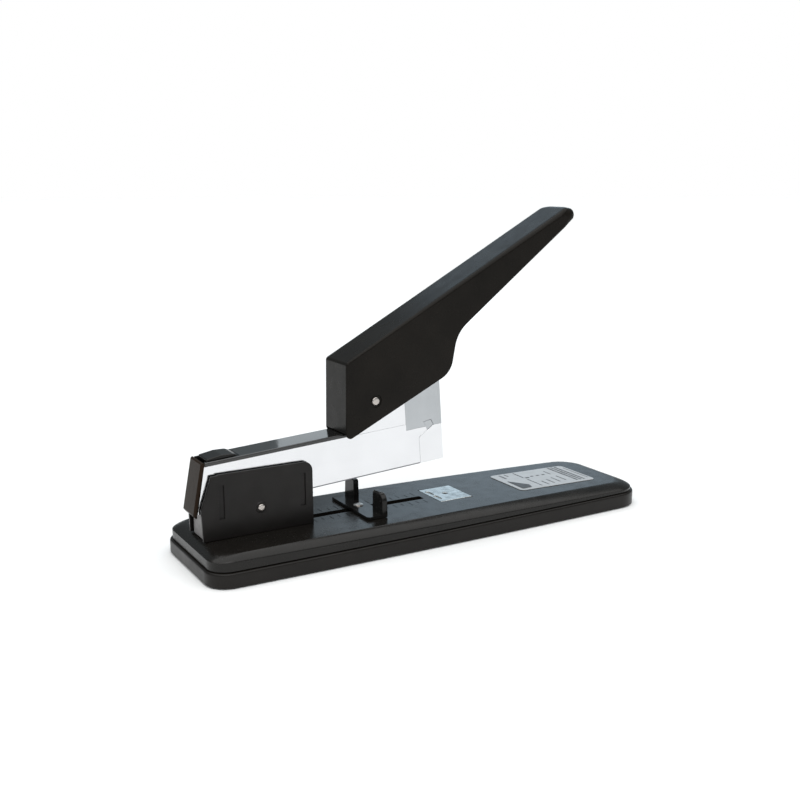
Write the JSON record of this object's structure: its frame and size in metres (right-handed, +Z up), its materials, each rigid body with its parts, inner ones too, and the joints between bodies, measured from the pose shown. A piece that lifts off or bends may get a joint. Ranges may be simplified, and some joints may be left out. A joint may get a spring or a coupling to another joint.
{
  "type": "heavy-duty stapler",
  "caption": "Long lever desktop stapler: hinged chrome arm over a black base with anvil, sliding paper guide, pull-out magazine and lever handle.",
  "frame": {"origin": "middle of the base's footprint, on the surface that it stands on", "axes": "+X along the base towards the side where paper goes in, +Z up, +Y across to the stapler's left seen from behind"},
  "size_m": [0.28, 0.0782, 0.1812],
  "materials": {
    "base_plastic": "satin moulded",
    "gloss_plastic": "gloss",
    "black_steel": "satin paint",
    "handle_paint": "satin paint",
    "chrome": "bright plated",
    "head_chrome": "plated",
    "nickel": "rivet nickel",
    "zinc_steel": "zinc plated",
    "dark_steel": "oiled",
    "grey_steel": "satin",
    "spring_steel": "drawn wire",
    "anvil_zinc": "zinc plated",
    "staple_wire": "coated wire",
    "brass": "turned",
    "label": "foil",
    "rubber": "matt"
  },
  "bodies": {
    "root": {"base_tray": "base_plastic", "base_cover": "base_plastic", "base_plate": "dark_steel", "rubber_feet": "rubber", "base_screws": "zinc_steel", "anvil_plate": "anvil_zinc", "anvil_rivet": "zinc_steel", "instruction_label": "label", "hinge_bracket": "black_steel", "rest_stop": "grey_steel", "bracket_rivets": "zinc_steel", "hinge_pin": "nickel", "hinge_bush": "brass", "lift_spring": "spring_steel"},
    "paper_guide": {"guide_plate": "gloss_plastic", "guide_rivet": "nickel", "guide_washer": "zinc_steel"},
    "arm": {"arm_channel": "chrome", "inner_channel": "zinc_steel", "top_strip": "gloss_plastic", "nose_plate": "chrome", "head_housing": "head_chrome", "magazine_rail": "zinc_steel", "staple_strip": "staple_wire", "pivot_yoke": "chrome", "yoke_rivets": "zinc_steel", "handle_pin": "nickel", "pivot_spacers": "brass", "return_spring": "spring_steel", "button_spring": "spring_steel"},
    "driver": {"driver_blade": "spring_steel", "driver_block": "dark_steel", "driver_rivets": "zinc_steel"},
    "magazine": {"rear_cap": "gloss_plastic", "guide_rod": "zinc_steel", "pusher_spring": "spring_steel"},
    "pusher": {"pusher": "dark_steel"},
    "button": {"release_button": "gloss_plastic"},
    "handle": {"handle_shell": "handle_paint", "handle_lever": "dark_steel", "lever_rivets": "zinc_steel", "drive_pin": "zinc_steel"}
  },
  "joints": [
    {"name": "arm_hinge", "type": "hinge", "parent": "root", "child": "arm", "pos_m": [-0.1023, 0, 0.0306], "axis": [0, 1, 0], "range_deg": [0, 11.5], "stiffness_Nm_per_rad": 2, "springref_deg": -51.57, "deforming": ["lift_spring"]},
    {"name": "handle_pivot", "type": "hinge", "parent": "arm", "child": "handle", "pos_m": [-0.03489, 0, 0.08002], "axis": [0, 1, 0], "range_deg": [0, 26], "stiffness_Nm_per_rad": 0.8, "springref_deg": -34.38},
    {"name": "driver_slide", "type": "slide", "parent": "arm", "child": "driver", "axis": [0.0654, 0, -0.9979], "range_m": [0, 0.0162], "deforming": ["return_spring"]},
    {"name": "magazine_slide", "type": "slide", "parent": "arm", "child": "magazine", "axis": [-0.9979, 0, -0.0654], "range_m": [0, 0.09]},
    {"name": "pusher_slide", "type": "slide", "parent": "magazine", "child": "pusher", "axis": [-0.9979, 0, -0.0654], "range_m": [0, 0.045], "stiffness_N_per_m": 60, "springref_m": -0.06, "deforming": ["pusher_spring"]},
    {"name": "button_press", "type": "slide", "parent": "arm", "child": "button", "axis": [0.0654, 0, -0.9979], "range_m": [0, 0.0015], "stiffness_N_per_m": 800, "springref_m": -0.001, "deforming": ["button_spring"]},
    {"name": "guide_slide", "type": "slide", "parent": "root", "child": "paper_guide", "axis": [1, 0, 0], "range_m": [-0.026, 0.026]}
  ],
  "couplings": [
    {"joint": "driver_slide", "follows": "handle_pivot", "m_per_rad": 0.035196}
  ]
}
